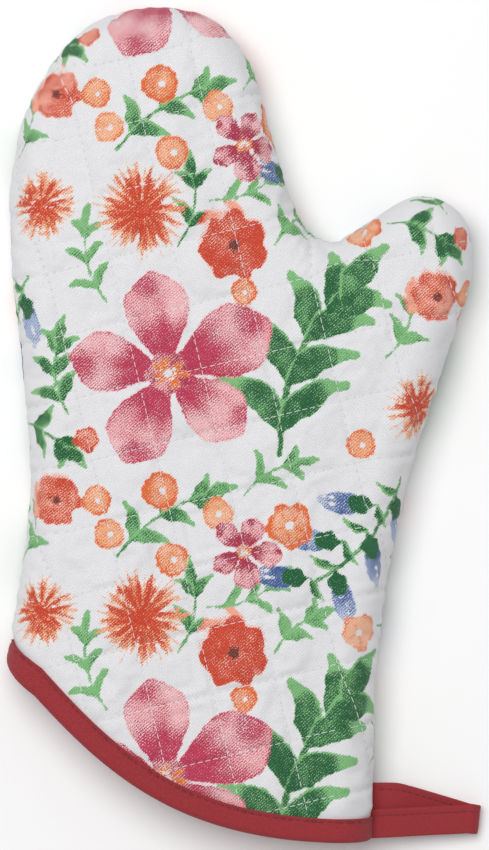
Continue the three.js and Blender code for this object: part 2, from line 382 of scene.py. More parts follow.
def coverLift(side, points, cuffDistance, plan, edge):
    fade = smoothStep(0, 3, edge)
    fade *= smoothStep(8.2, 15, cuffDistance)
    lift = (liftAll[side][points] + grooveAll[points] + clothRipple(plan)) * fade
    return lift + bindingSqueeze(cuffDistance)


# the print: a generic watercolour of leaves, bells, berries and flowers, each drawn by a rule and repeated.
# Two screens are printed one over the other: a pale wash, and a deep ink that breaks up into specks.

paint = {
    "ground": "#ececef",
    "palegreen": "#78b773", "deepgreen": "#1f5c38", "midgreen": "#3f8a4c",
    "blush": "#efb3b6", "crimson": "#b92c50", "wine": "#a82745",
    "apricot": "#f0ab7c", "salmon": "#f1a68c", "tangerine": "#dd6531", "rust": "#c83f28", "umber": "#6b3b34",
    "pale blue": "#a5b4d3", "blue": "#3c5a90",
    "straw": "#f6d49a",
}
brushes = {  # share of the full width, at even steps from the start of a mark to its end
    "leaf": (0.32, 0.66, 0.95, 1.0, 0.9, 0.68, 0.42, 0.3),
    "slim": (0.4, 0.8, 1.0, 1.0, 1.0, 0.9, 0.5),
    "stem": (0.85, 0.95, 1.0, 0.9, 0.85),
    "ray": (0.2, 0.55, 0.8, 0.95, 1.0, 0.9, 0.4),
    "egg": (0.5, 0.85, 0.98, 1.0, 0.97, 0.8, 0.35),
    "cap": (0.3, 0.85, 1.0, 0.97, 0.8),
}


def rgb(hexText):
    return np.array([int(hexText[k:k + 2], 16) / 255 for k in (1, 3, 5)])


def toLinear(colour):
    c = np.asarray(colour, float)
    return np.where(c <= 0.04045, c / 12.92, ((c + 0.055) / 1.055) ** 2.4)


class Cloth:  # bare cloth that takes paint: for each screen a colour and a level, 0.5 at a mark's edge
    def __init__(self, plan):
        self.plan = plan
        self.washColour = np.tile(rgb(paint["ground"]), (len(plan), 1))
        self.inkColour = self.washColour.copy()
        self.wash = np.zeros(len(plan))
        self.ink = np.zeros(len(plan))
        self.marks = 0
        self.mood = washNoise(plan, 8, 71) + 0.5 * softNoise(plan, 2.4, 72) - 0.75
        self.fine = softNoise(plan, 1.5, 73) - 0.5

    def around(self, low, high, margin):
        p = self.plan
        inside = (p[:, 0] > low[0] - margin) & (p[:, 0] < high[0] + margin)
        inside &= (p[:, 1] > low[1] - margin) & (p[:, 1] < high[1] + margin)
        return np.flatnonzero(inside)

    def lay(self, at, inside, wash, ink, washShare, inkShare, feather=0.0):
        # inside is the distance in from the mark's edge
        # the shares are how much of the cloth each screen covers
        self.marks += 1
        inside = inside + self.fine[at] * 0.8
        near = inside > -1.0
        at, inside = at[near], inside[near]
        washShare = np.broadcast_to(washShare, near.shape)[near]
        inkShare = np.broadcast_to(inkShare, near.shape)[near]
        if feather:
            washShare = washShare - 1.1 * (1 - smoothStep(0, feather, inside))
            inkShare = inkShare - 0.6 * (1 - smoothStep(0, feather, inside))
        edge = 0.5 + 0.6 * inside
        washLevel = np.minimum(edge, 0.35 + 0.3 * np.clip(washShare, -0.3, 1.2))
        inkLevel = np.minimum(edge, 0.35 + 0.3 * np.clip(inkShare, -0.3, 1.2))
        owns = (inside > 0) | (self.wash[at] < 0.35)
        self.washColour[at[owns]] = rgb(paint[wash])
        self.wash[at] = np.maximum(self.wash[at], washLevel)
        over = np.clip(0.5 + inside / 0.8, 0, 1)
        if feather:
            over *= smoothStep(0, feather, inside)
        fresh = (inside > 0) | (self.ink[at] < 0.35)
        self.inkColour[at[fresh]] = rgb(paint[ink])
        self.ink[at] = self.ink[at] * (1 - over) + np.maximum(inkLevel, 0) * over

    def bare(self, at, inside):  # a place where no paint went
        level = np.clip(0.5 - 0.6 * (inside + self.fine[at]), 0, 1)
        self.wash[at] = np.minimum(self.wash[at], level)
        self.ink[at] = np.minimum(self.ink[at], level)

    def spare(self, centre, radius):
        c = np.array(centre, float)
        at = self.around(c, c, radius + 1)
        self.bare(at, radius - np.hypot(*(self.plan[at] - c).T))

    def scratch(self, start, end, width):
        at, inside, t, across = strokeField(self, bent(start, end, 0.04), width, "slim")
        self.bare(at, inside)


def bent(base, tip, bend):  # a bow, the bend to the left is given as a share of its length
    a, b = np.array(base, float), np.array(tip, float)
    side = bend * np.array([a[1] - b[1], b[0] - a[0]])
    return [a, a + 0.34 * (b - a) + side, a + 0.74 * (b - a) + 0.9 * side, b]


def strokeField(cloth, route, width, brush):
    # for places near a brush mark: distance in from its edge, share along it, share across it
    line = smoothRoute(route, 8)
    at = cloth.around(line.min(0), line.max(0), width)
    off, footPoint, _ = nearest(cloth.plan[at], line)
    steps = np.linalg.norm(np.diff(line, axis=0), axis=1)
    starts = np.concatenate([[0], np.cumsum(steps)[:-1]])
    middles = (line[:-1] + line[1:]) / 2
    closest = ((footPoint[:, None] - middles[None]) ** 2).sum(2).argmin(1) if len(at) else np.zeros(0, int)
    t = (starts[closest] + np.linalg.norm(footPoint - line[closest], axis=1)) / steps.sum()
    shares = np.array(brushes[brush])
    half = width / 2 * np.interp(t, np.linspace(0, 1, len(shares)), shares)
    away = np.linalg.norm(cloth.plan[at] - footPoint, axis=1)
    return at, half - np.maximum(np.abs(off), away), t, off / (width / 2)


def leaf(cloth, base, tip, width, bend=0.1, depth=0.8, pale=0.3, rim=1, brush="leaf"):
    # depth is how solid the deep green is, pale the share of the tip it leaves, rim the side it leaves
    at, inside, t, across = strokeField(cloth, bent(base, tip, bend), width, brush)
    wet = cloth.mood[at]
    waves = np.sin(9 * t + 2 * np.sign(across) + base[0])
    waves = waves * smoothStep(0.1, 0.3, t) * (1 - smoothStep(0.8, 0.95, t))
    inside = inside + 0.05 * width * waves
    ink = depth + 0.8 * wet - (depth + 0.1) * smoothStep(1 - pale - 0.1, 1 - pale + 0.1, t + 0.2 * wet)
    ink = ink - 0.9 * (1 - smoothStep(0.3, 1.3, inside)) * (across * rim > 0)
    ink = ink + 0.35 * (1 - smoothStep(0.2, 1.0, inside)) * (across * rim < 0)
    cloth.lay(at, inside, "palegreen", "deepgreen", 1.2, ink)


def stem(cloth, route, width=1.6, depth=0.6):
    at, inside, t, across = strokeField(cloth, route, width, "stem")
    cloth.lay(at, inside, "palegreen", "deepgreen", 1.2, depth + cloth.mood[at])


def ray(cloth, a, b, width, wash, ink, washShare, inkShare):
    at, inside, t, across = strokeField(cloth, bent(a, b, 0.02), width, "ray")
    share = inkShare * (1.15 - 0.5 * t * t) + 0.3 * cloth.mood[at]
    cloth.lay(at, inside, wash, ink, washShare - 0.3 * smoothStep(0.7, 1, t), share)


def burst(cloth, centre, radius, petals, seed):
    # a star of brush strokes that meet in the middle, over thin pale lines
    random = np.random.default_rng(seed)
    c = np.array(centre, float)
    for count, turn, width, inkShare, washShare, low, high in [
        (petals * 3, 0.1, 0.045, 0.5, 1.0, 0.86, 1.12),
        (petals, 0.0, 0.13, 0.55, 1.1, 0.85, 1.02),
        (petals, 0.2, 0.12, 1.05, 1.2, 0.72, 0.97),
        (petals, 0.05, 0.13, 1.35, 1.2, 0.5, 0.85),
    ]:
        for k in range(count):
            angle = 2 * pi * (k + random.uniform(-0.3, 0.3)) / count + turn
            way = np.array([cos(angle), sin(angle)])
            end = radius * random.uniform(low, high)
            thick = radius * width * random.uniform(0.8, 1.25)
            wet = inkShare * random.uniform(0.7, 1.15)
            ray(cloth, c, c + way * end, thick, "apricot", "rust", washShare, wet)
    disc(cloth, centre, radius * 0.2, "tangerine", "rust", seed, 1.2, 1.1, 9, 0.15)


def disc(cloth, centre, radius, wash, ink, seed, washShare=1.1, inkShare=0.7, lobes=5, depth=0.04, edge=0.5,
         feather=0.0):
    # a round brush mark, inkier near its edge, that may be lobed
    c = np.array(centre, float)
    at = cloth.around(c, c, radius * 1.35 + 1)
    rel = cloth.plan[at] - c
    far = np.hypot(rel[:, 0], rel[:, 1])
    angle = np.arctan2(rel[:, 1], rel[:, 0])
    uneven = 0.75 + 0.4 * np.cos(2 * angle + 1.7 * seed)
    reach = radius * (1 + depth * uneven * np.cos(lobes * angle + seed + 0.7 * np.sin(2 * angle + seed))
                      + 0.04 * np.cos(3 * angle - 2 * seed) + 0.025 * np.cos(13 * angle + seed))
    rimmed = edge * (smoothStep(0.6, 0.95, far / radius) - 0.4)
    washed = washShare + 0.3 * cloth.mood[at]
    inked = inkShare + 0.8 * cloth.mood[at] + rimmed
    cloth.lay(at, reach - far, wash, ink, washed, inked, feather)


def berry(cloth, centre, radius, seed, inkShare=0.6):
    disc(cloth, centre, radius, "apricot", "tangerine", seed, 1.0, inkShare, 4, 0.03, 0.6)
    cloth.spare(np.array(centre) + radius * np.array([0.1, -0.02]), radius * 0.17)


def smallFlower(cloth, centre, radius, seed, inkShare=0.45):
    # an open flower of round petals with a bare heart
    disc(cloth, centre, radius, "apricot", "tangerine", seed, 0.95, inkShare, 5, 0.12, 0.9)
    c = np.array(centre, float)
    for k in range(5):
        angle = 2 * pi * k / 5 - seed / 5
        way = np.array([cos(angle), sin(angle)])
        ray(cloth, c + way * radius * 0.2, c + way * radius * 0.8, 1.1, "apricot", "tangerine", 1.0, 0.8)
    cloth.spare(centre, radius * 0.17)


def poppy(cloth, centre, radius, seed, lobes=7, heart="umber", inkShare=1.0, halo=(0.0, 0.0)):
    # a ragged red-orange flower with a feathered halo to one side and a small dark heart
    c = np.array(centre, float)
    haloAt = c + radius * np.array(halo)
    disc(cloth, haloAt, radius * 1.1, "salmon", "rust", seed + 1, 0.75, 0.1, lobes, 0.07, 0, radius * 0.35)
    disc(cloth, centre, radius * 0.94, "salmon", "rust", seed, 1.1, inkShare, lobes, 0.11, 0.15)
    disc(cloth, centre, radius * 0.17, "rust", heart, seed, 1.2, 0.95, 5, 0.3, -0.6)


def bell(cloth, cap, mouth, width, inkShare=0.6, streaks=1):
    # a drooping blue bell, paler at its mouth, in a dark green cap
    a, b = np.array(cap, float), np.array(mouth, float)
    way = (b - a) / np.linalg.norm(b - a)
    side = np.array([-way[1], way[0]]) * width
    at, inside, t, across = strokeField(cloth, bent(a, b, 0.03), width, "egg")
    share = inkShare + 0.9 * (0.5 - t) + cloth.mood[at] + 0.25 * (1 - smoothStep(0, 1, inside))
    cloth.lay(at, inside, "pale blue", "blue", 1.1 - 0.4 * smoothStep(0.7, 1, t), share)
    for k in range(streaks):
        start = a + (b - a) * (0.55 + 0.1 * k) + side * (0.12 - 0.27 * k)
        cloth.scratch(start, start + (b - a) * 0.3, 0.9)
    capRoute = bent(a - way * width * 0.36, a + way * width * 0.3, 0)
    at, inside, t, across = strokeField(cloth, capRoute, width * 0.9, "cap")
    cloth.lay(at, inside, "midgreen", "deepgreen", 1.2, 1.1 + 0.5 * cloth.mood[at])


def petal(cloth, corners, heart, inkShare=0.5, pools=(), ink="crimson"):
    # a broad petal inside a rounded outline; pools are places the ink gathered: x, y, radius, how much
    ring = np.array(corners, float)
    line = smoothRoute(np.vstack([ring, ring[:1]]), 8)
    at = cloth.around(line.min(0), line.max(0), 2)
    inside = nearest(cloth.plan[at], line)[0]
    area = (line[:-1, 0] * line[1:, 1] - line[1:, 0] * line[:-1, 1]).sum()
    inside = inside * np.sign(area)
    rel = cloth.plan[at] - np.array(heart)
    t = np.linalg.norm(rel, axis=1) / np.linalg.norm(ring - np.array(heart), axis=1).max()
    veins = 0.12 * np.cos(15 * np.arctan2(rel[:, 1], rel[:, 0])) * smoothStep(0.15, 0.5, t)
    share = inkShare + 0.4 * (0.5 - t) + 0.45 * cloth.mood[at] + veins
    share = share + 0.4 * (1 - smoothStep(0, 1.6, inside))
    for x, y, radius, much in pools:
        far = np.hypot(cloth.plan[at, 0] - x, cloth.plan[at, 1] - y) + 6 * cloth.mood[at]
        share = share + much * (1 - smoothStep(radius * 0.3, radius * 1.6, far))
    cloth.lay(at, inside, "blush", ink, 1.0 + 0.5 * cloth.mood[at], share)


def stamens(cloth, centre, radius, seed):
    random = np.random.default_rng(seed)
    c = np.array(centre, float)
    disc(cloth, centre, radius * 1.25, "blush", "wine", seed, 1.2, 0.75, 5, 0.12, 0.1)
    for k in range(9):
        angle = 2 * pi * k / 9 + random.uniform(-0.3, 0.3)
        way = np.array([cos(angle), sin(angle)])
        long = radius * random.uniform(0.7, 1.25)
        ray(cloth, c + way * 0.5, c + way * long, 2.2, "straw", "tangerine", 1.2, 1.1)
        cloth.spare(c + way * radius * 0.45, 0.45)
    cloth.spare(centre, radius * 0.22)


def asideOf(base, tip, share, off):  # a place part of the way from base to tip, and off mm to its left
    a, b = np.array(base, float), np.array(tip, float)
    way = (b - a) / np.linalg.norm(b - a)
    return a + (b - a) * share + off * np.array([-way[1], way[0]])


def openFlower(cloth, centre, radius, turn, seed, petals=5, ink="crimson"):
    # equal petals round a heart, each a little uneven in length and width
    random = np.random.default_rng(seed)
    c = np.array(centre, float)
    halfPetal = [(0.08, 0.05), (0.3, 0.19), (0.55, 0.32), (0.8, 0.33), (0.96, 0.17)]
    for k in range(petals):
        angle = turn + 2 * pi * (k + random.uniform(-0.08, 0.08)) / petals
        way = np.array([cos(angle), sin(angle)])
        left = np.array([-way[1], way[0]])
        size = radius * random.uniform(0.86, 1.06)
        wide = random.uniform(0.9, 1.1)
        oneSide = [c + size * (x * way - wide * y * left) for x, y in halfPetal]
        otherSide = [c + size * (x * way + wide * y * left) for x, y in halfPetal[::-1]]
        pools = [
            (*(c + size * 0.3 * way), size * 0.26, 0.7),
            (*(c + size * (0.9 * way + 0.1 * left)), size * 0.13, 0.7),
            (*(c + size * (0.6 * way - 0.24 * left)), size * 0.14, random.uniform(-0.3, 0.4)),
        ]
        edgeWay = oneSide + [c + size * 1.05 * way] + otherSide
        petal(cloth, edgeWay, centre, random.uniform(0.28, 0.5), pools, ink)
    stamens(cloth, centre, radius * 0.16, seed)


def branch(cloth, base, tip, pairs, long, wide, bend=0.1, depth=0.8, brush="leaf"):
    # a bowed stem with opposite leaves, shorter towards its tip
    route = bent(base, tip, bend)
    stem(cloth, route, max(1.2, wide * 0.24), depth - 0.1)
    line = smoothRoute(route, 12)
    for k in range(pairs):
        share = (k + 0.7) / (pairs + 0.2)
        i = int(share * (len(line) - 2))
        ahead = atan2(*(line[i + 1] - line[i])[::-1])
        for sign in (1, -1):
            angle = ahead + sign * radians(56 - 16 * share)
            size = long * (1.05 - 0.35 * share)
            goal = line[i] + size * np.array([cos(angle), sin(angle)])
            leaf(cloth, line[i], goal, wide, -0.12 * sign, depth + 0.12 * (k % 2), 0.24, -sign, brush)
    ahead = (line[-1] - line[-2]) / np.linalg.norm(line[-1] - line[-2])
    leaf(cloth, line[-1] - ahead, line[-1] + ahead * long * 0.75, wide, 0.05, depth, 0.25, 1, brush)


def bellSprig(cloth, base, tip, count):  # bells hang from both sides of a bowed stem, by turns
    stem(cloth, bent(base, tip, 0.08), 2.0, 0.6)
    for k in range(count):
        share = 0.1 + 0.9 * k / (count - 1)
        sign = (-1) ** k
        root = asideOf(base, tip, share, 2 * sign)
        cap = asideOf(base, tip, share + 0.07, 6.5 * sign)
        mouth = asideOf(base, tip, share + 0.24, 20 * sign)
        stem(cloth, [root, cap], 1.3, 0.6)
        bell(cloth, cap, mouth, 9, 0.3 + 0.3 * (k % 3), 1 + k % 2)
        leaf(cloth, root, asideOf(base, tip, share + 0.06, -8 * sign), 3.8, 0.1 * sign, 0.9, 0.25)


def berrySprig(cloth, base, tip, seed):
    branch(cloth, base, tip, 3, 15, 6.4, 0.08, 0.6)
    for k, (share, off) in enumerate([(0.05, 9), (0.4, -13), (0.66, 12), (0.98, -8)]):
        berry(cloth, asideOf(base, tip, share, off), 6.2 + 0.6 * (k % 3), seed + k, 0.35 + 0.25 * (k % 3))


repeat = {"wide": 150, "tall": 160, "front": (-66, -14), "back": (-20, 41)}


def paintRepeat(cloth):  # the design once, in mm from its lower left corner
    branch(cloth, (80, 2), (106, 66), 4, 31, 12, 0.1, 0.85)
    branch(cloth, (12, 62), (4, 92), 3, 11, 3.4, 0.1, 0.15, "slim")
    branch(cloth, (52, 102), (78, 112), 3, 12, 3.4, -0.1, 0.2, "slim")
    branch(cloth, (122, 94), (146, 84), 2, 14, 6, 0.1, 0.95)
    branch(cloth, (66, 146), (86, 158), 2, 12, 3.6, 0.1, 0.4, "slim")
    branch(cloth, (122, 40), (132, 62), 2, 12, 5, -0.1, 0.3)
    branch(cloth, (147, 98), (143, 126), 3, 14, 5.5, 0.1, 0.7)
    branch(cloth, (40, 84), (46, 112), 2, 13, 5, -0.1, 0.7)
    branch(cloth, (78, 84), (94, 98), 2, 12, 5, 0.1, 0.3)
    bellSprig(cloth, (130, 152), (94, 112), 6)
    berrySprig(cloth, (16, 122), (52, 146), 3)
    openFlower(cloth, (36, 34), 41, 0.5, 8)
    openFlower(cloth, (66, 124), 14, 1.1, 4, 5, "wine")
    burst(cloth, (26, 98), 18, 15, 12)
    burst(cloth, (136, 20), 14, 13, 19)
    poppy(cloth, (62, 84), 14, 2.2, 7, "umber", 1.0, (-0.05, 0.18))
    poppy(cloth, (142, 64), 10.5, 0.6, 6, "umber", 0.7, (-0.2, 0.15))
    smallFlower(cloth, (84, 134), 9, 2.0, 0.55)
    smallFlower(cloth, (112, 92), 7.5, 0.9, 0.35)
    berry(cloth, (8, 144), 6, 5, 0.5)
    berry(cloth, (66, 66), 5.4, 7, 0.8)
    berry(cloth, (112, 6), 6, 2, 0.4)
    disc(cloth, (4, 8), 5, "salmon", "rust", 1.0, 1.1, 0.7, 5, 0.1)


# each panel is cut from cloth on which the design repeats with a half drop
def printedCloth(plan, side):
    cloth = Cloth(plan * [side, 1])
    onCloth = cloth.plan
    size = np.array([repeat["wide"], repeat["tall"]])
    first = np.array(repeat["front"] if side > 0 else repeat["back"])
    for column in (-2, -1, 0, 1, 2):
        for row in (-3, -2, -1, 0, 1, 2):
            corner = first + size * (column, row + column % 2 / 2)
            cloth.plan = onCloth - corner
            if len(cloth.around((0, 0), size, 15)):
                paintRepeat(cloth)
    cloth.plan = onCloth
    print("  brush marks:", cloth.marks)
    return cloth


# materials

def addNode(tree, kind, settings=None, inputs=None):
    node = tree.nodes.new(kind)
    for key, value in (settings or {}).items():
        setattr(node, key, value)
    for key, value in (inputs or {}).items():
        if isinstance(value, bpy.types.NodeSocket):
            tree.links.new(value, node.inputs[key])
        else:
            node.inputs[key].default_value = value
    return node


def newMaterial(name, roughness, sheen=0.0):
    made = bpy.data.materials.new(name)
    made.use_nodes = True
    tree = made.node_tree
    shader = tree.nodes["Principled BSDF"]
    shader.inputs["Roughness"].default_value = roughness
    shader.inputs["Specular IOR Level"].default_value = 0.25
    shader.inputs["Sheen Weight"].default_value = sheen
    shader.inputs["Sheen Roughness"].default_value = 0.5
    return made, tree, shader


def linearColour(hexText):
    return tuple(toLinear(rgb(hexText))) + (1.0,)


def twillRibs(tree, source, pitch, turn):  # diagonal ribs of a twill weave, pitch in mm, on a map in mm
    mapped = addNode(tree, "ShaderNodeMapping", {}, {"Vector": source, "Rotation": (0, 0, turn)})
    wave = addNode(
        tree, "ShaderNodeTexWave", {"wave_type": "BANDS", "bands_direction": "X"},
        {"Vector": mapped.outputs[0], "Scale": 0.314 / pitch, "Distortion": 1.0, "Detail": 2.0,
         "Detail Scale": 0.8},
    )
    return wave.outputs["Fac"]


# one printed colour over another: solid where its level is high, broken into specks where it is middling
def screenPrint(tree, ground, screen, specks):
    level = addNode(tree, "ShaderNodeAttribute", {"attribute_name": screen})
    bar = addNode(tree, "ShaderNodeMapRange", {}, {"Value": specks, "To Min": 0.35, "To Max": 0.7})
    over = addNode(tree, "ShaderNodeMath", {"operation": "SUBTRACT"}, {
        0: level.outputs["Alpha"], 1: bar.outputs[0]})
    shown = addNode(tree, "ShaderNodeMapRange", {}, {
        "Value": over.outputs[0], "From Min": -0.07, "From Max": 0.07, "To Max": 0.96})
    mixed = addNode(tree, "ShaderNodeMix", {"data_type": "RGBA"}, {
        0: shown.outputs[0], 6: ground, 7: level.outputs["Color"]})
    return mixed.outputs[2]


# screen-printed cotton twill: matte, with fine diagonal ribs that break the thinner inks into specks, and a
# painted shadow in each needle hole
def printedTwill():
    made, tree, shader = newMaterial("printed cotton twill", 0.92, 0.1)
    uv = addNode(tree, "ShaderNodeUVMap", {"uv_map": "clothPlan"}).outputs[0]
    inMm = addNode(tree, "ShaderNodeMapping", {}, {"Vector": uv, "Scale": (1000, 1000, 1000)}).outputs[0]
    ribs = twillRibs(tree, inMm, 0.95, radians(48))
    along = addNode(tree, "ShaderNodeMapping", {}, {"Vector": inMm, "Rotation": (0, 0, radians(48)),
                                                    "Scale": (2.7, 2.0, 1)}).outputs[0]
    threads = addNode(tree, "ShaderNodeTexNoise", {}, {"Vector": along, "Scale": 1.0, "Detail": 2.0})
    blotch = addNode(tree, "ShaderNodeTexNoise", {}, {"Vector": inMm, "Scale": 0.45, "Detail": 3.0})
    grain = addNode(tree, "ShaderNodeMix", {"data_type": "FLOAT"}, {
        0: 0.12, 2: threads.outputs["Fac"], 3: ribs})
    specks = addNode(tree, "ShaderNodeMapRange", {}, {
        "Value": grain.outputs[0], "From Min": 0.33, "From Max": 0.67})
    ground = addNode(tree, "ShaderNodeMix", {"data_type": "RGBA"}, {
        0: blotch.outputs["Fac"], 6: linearColour("#dfdfe2"), 7: linearColour("#e8e8ea")}).outputs[2]
    washed = screenPrint(tree, ground, "wash", specks.outputs[0])
    inked = screenPrint(tree, washed, "ink", specks.outputs[0])
    shade = addNode(tree, "ShaderNodeMapRange", {}, {
        "Value": grain.outputs[0], "From Min": 0.3, "From Max": 0.7, "To Min": 0.82, "To Max": 1.1})
    worn = addNode(tree, "ShaderNodeVectorMath", {"operation": "SCALE"}, {
        0: inked, "Scale": shade.outputs[0]})
    # painted shade: the needle attribute darkens the cloth towards #6c6460 at each stitch end, a painted
    # shadow standing in for the needle hole
    needle = addNode(tree, "ShaderNodeAttribute", {"attribute_name": "needle"}).outputs["Fac"]
    dark = addNode(tree, "ShaderNodeMath", {"operation": "MULTIPLY"}, {0: needle, 1: 0.16})
    holeShaded = addNode(tree, "ShaderNodeMix", {"data_type": "RGBA", "blend_type": "MULTIPLY"}, {
        0: dark.outputs[0], 6: worn.outputs[0], 7: linearColour("#6c6460")})
    tree.links.new(holeShaded.outputs[2], shader.inputs["Base Color"])
    bump = addNode(tree, "ShaderNodeBump", {}, {
        "Height": grain.outputs[0], "Strength": 0.3, "Distance": 0.0002})
    tree.links.new(bump.outputs[0], shader.inputs["Normal"])
    return made


# cotton twill tape, dyed brick red: matte, with diagonal ribs and a slightly worn, paler nap
def redTwill(mapped=True):
    made, tree, shader = newMaterial("dyed cotton twill tape", 0.9, 0.06)
    if mapped:
        coords = addNode(tree, "ShaderNodeUVMap", {"uv_map": "clothPlan"}).outputs[0]
    else:
        coords = addNode(tree, "ShaderNodeTexCoord").outputs["Object"]
    inMm = addNode(tree, "ShaderNodeMapping", {}, {"Vector": coords, "Scale": (1000, 1000, 1000)}).outputs[0]
    ribs = twillRibs(tree, inMm, 0.8, radians(38))
    nap = addNode(tree, "ShaderNodeTexNoise", {}, {
        "Vector": inMm, "Scale": 0.9, "Detail": 4.0, "Roughness": 0.65})
    grain = addNode(tree, "ShaderNodeMix", {"data_type": "FLOAT"}, {0: 0.22, 2: nap.outputs["Fac"], 3: ribs})
    colour = addNode(tree, "ShaderNodeValToRGB", {}, {"Fac": grain.outputs[0]})
    colour.color_ramp.elements[0].position = 0.25
    colour.color_ramp.elements[0].color = linearColour("#8e282d")
    colour.color_ramp.elements[1].position = 0.75
    colour.color_ramp.elements[1].color = linearColour("#a33b41")
    tree.links.new(colour.outputs[0], shader.inputs["Base Color"])
    bump = addNode(tree, "ShaderNodeBump", {}, {
        "Height": grain.outputs[0], "Strength": 0.5, "Distance": 0.0002})
    tree.links.new(bump.outputs[0], shader.inputs["Normal"])
    return made


def plainCotton():  # plain-woven lining cotton: off-white, matte, a square weave
    made, tree, shader = newMaterial("plain woven cotton", 0.93, 0.1)
    coords = addNode(tree, "ShaderNodeTexCoord").outputs["Object"]
    inMm = addNode(tree, "ShaderNodeMapping", {}, {"Vector": coords, "Scale": (1000, 1000, 1000)}).outputs[0]
    warp = addNode(tree, "ShaderNodeTexWave", {"bands_direction": "X"}, {"Vector": inMm, "Scale": 0.4})
    weft = addNode(tree, "ShaderNodeTexWave", {"bands_direction": "Y"}, {"Vector": inMm, "Scale": 0.4})
    both = addNode(tree, "ShaderNodeMath", {"operation": "MULTIPLY"}, {
        0: warp.outputs["Fac"], 1: weft.outputs["Fac"]})
    slub = addNode(tree, "ShaderNodeTexNoise", {}, {"Vector": inMm, "Scale": 0.3, "Detail": 4.0})
    colour = addNode(tree, "ShaderNodeMix", {"data_type": "RGBA"}, {
        0: slub.outputs["Fac"], 6: linearColour("#e4e0d8"), 7: linearColour("#f0ede6")})
    tree.links.new(colour.outputs[2], shader.inputs["Base Color"])
    bump = addNode(tree, "ShaderNodeBump", {}, {
        "Height": both.outputs[0], "Strength": 0.4, "Distance": 0.0002})
    tree.links.new(bump.outputs[0], shader.inputs["Normal"])
    return made


def woolyWadding():  # needled cotton and polyester wadding: white, fibrous, no gloss
    made, tree, shader = newMaterial("needled wadding", 0.97, 0.3)
    coords = addNode(tree, "ShaderNodeTexCoord").outputs["Object"]
    inMm = addNode(tree, "ShaderNodeMapping", {}, {"Vector": coords, "Scale": (1000, 1000, 1000)}).outputs[0]
    fibre = addNode(tree, "ShaderNodeTexNoise", {}, {
        "Vector": inMm, "Scale": 0.8, "Detail": 6.0, "Roughness": 0.75})
    colour = addNode(tree, "ShaderNodeMix", {"data_type": "RGBA"}, {
        0: fibre.outputs["Fac"], 6: linearColour("#e6e3db"), 7: linearColour("#f7f5ef")})
    tree.links.new(colour.outputs[2], shader.inputs["Base Color"])
    bump = addNode(tree, "ShaderNodeBump", {}, {
        "Height": fibre.outputs["Fac"], "Strength": 0.8, "Distance": 0.0006})
    tree.links.new(bump.outputs[0], shader.inputs["Normal"])
    return made


# spun polyester sewing thread: two plies show as fine slanting stripes
def sewingThread(name, dark, light):
    made, tree, shader = newMaterial(name, 0.6, 0.2)
    coords = addNode(tree, "ShaderNodeTexCoord").outputs["Object"]
    inMm = addNode(tree, "ShaderNodeMapping", {}, {"Vector": coords, "Scale": (1000, 1000, 1000)}).outputs[0]
    plies = addNode(tree, "ShaderNodeTexWave", {"bands_direction": "DIAGONAL"}, {
        "Vector": inMm, "Scale": 0.8})
    colour = addNode(tree, "ShaderNodeMix", {"data_type": "RGBA"}, {
        0: plies.outputs["Fac"], 6: linearColour(dark), 7: linearColour(light)})
    tree.links.new(colour.outputs[2], shader.inputs["Base Color"])
    return made


finishes = {
    "printed_cotton": printedTwill(),
    "binding_twill": redTwill(),
    "lining_cotton": plainCotton(),
    "batting": woolyWadding(),
    "white_thread": sewingThread("spun white thread", "#dbdade", "#eae9ed"),
    "red_thread": sewingThread("spun red thread", "#5a181e", "#93303a"),
}


def dress(piece, finish):
    piece.data.materials.clear()
    piece.data.materials.append(finishes[finish])


def giveMap(piece, flatPlaces):  # the cloth's own flat map, in metres
    layer = piece.data.uv_layers.new(name="clothPlan")
    loops = np.empty(len(piece.data.loops), int)
    piece.data.loops.foreach_get("vertex_index", loops)
    layer.data.foreach_set("uv", (flatPlaces[loops] / 1000).astype(np.float32).ravel())


def foldsWithThumb(piece):
    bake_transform(piece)


# covers

panelName = {1: "front", -1: "back"}
keepOffTable = 0.15


def settle(places):  # cloth that rests on the table is flat there
    places[:, 2] = np.maximum(places[:, 2], keepOffTable)
    return places


def cover(side, panel):
    plan = flat[panel["points"]]
    lift = coverLift(side, panel["points"], panel["cuff"], plan, panel["found"][0])
    places, _ = onPillow(None, side, layers["cover"], lift, panel["found"])
    piece = makeMesh(panelName[side] + "PrintedCover", settle(places), turned(panel["faces"], side))
    onCloth = flatPlan(panel["found"], side)
    giveMap(piece, onCloth)
    painted = printedCloth(onCloth, side)
    for screen, colour, level in (
        ("wash", painted.washColour, painted.wash),
        ("ink", painted.inkColour, painted.ink),
    ):
        values = np.column_stack([toLinear(colour), level]).astype(np.float32)
        attribute = piece.data.attributes.new(screen, "FLOAT_COLOR", "POINT")
        attribute.data.foreach_set("color", values.ravel())
    dress(piece, "printed_cotton")
    name = panelName[side] + "_cover"
    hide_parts(name, "thumb_" + name)
    foldsWithThumb(piece)
    return piece, places


print("making the covers")
finePanel = pickCells(1, 1.5)
covers = {side: cover(side, finePanel) for side in (1, -1)}


# wadding and linings: closed layers under each cover

def layerPiece(name, side, top, foot, finish, topLift, footLift, cuffMargin):
    panel = pickCells(quilt["simStep"], cuffMargin)
    edge = panel["found"][0]
    plan = flat[panel["points"]]
    lift = coverLift(side, panel["points"], panel["cuff"], plan, edge)
    upper, _ = onPillow(None, side, top, lift * topLift, panel["found"])
    lower, _ = onPillow(None, side, foot, lift * footLift, panel["found"])
    count = len(upper)
    faces = turned(panel["faces"], side)
    uses = {}
    for f in faces:
        for a, b in zip(f, f[1:] + f[:1]):
            uses[(a, b)] = uses.get((a, b), 0) + 1
    rim = [(a, b) for a, b in uses if (b, a) not in uses]
    closed = faces + [tuple(i + count for i in f[::-1]) for f in faces]
    closed += [(b, a, a + count, b + count) for a, b in rim]
    piece = makeMesh(name, settle(np.vstack([upper, lower])), closed)
    dress(piece, finish)
    foldsWithThumb(piece)
    return piece


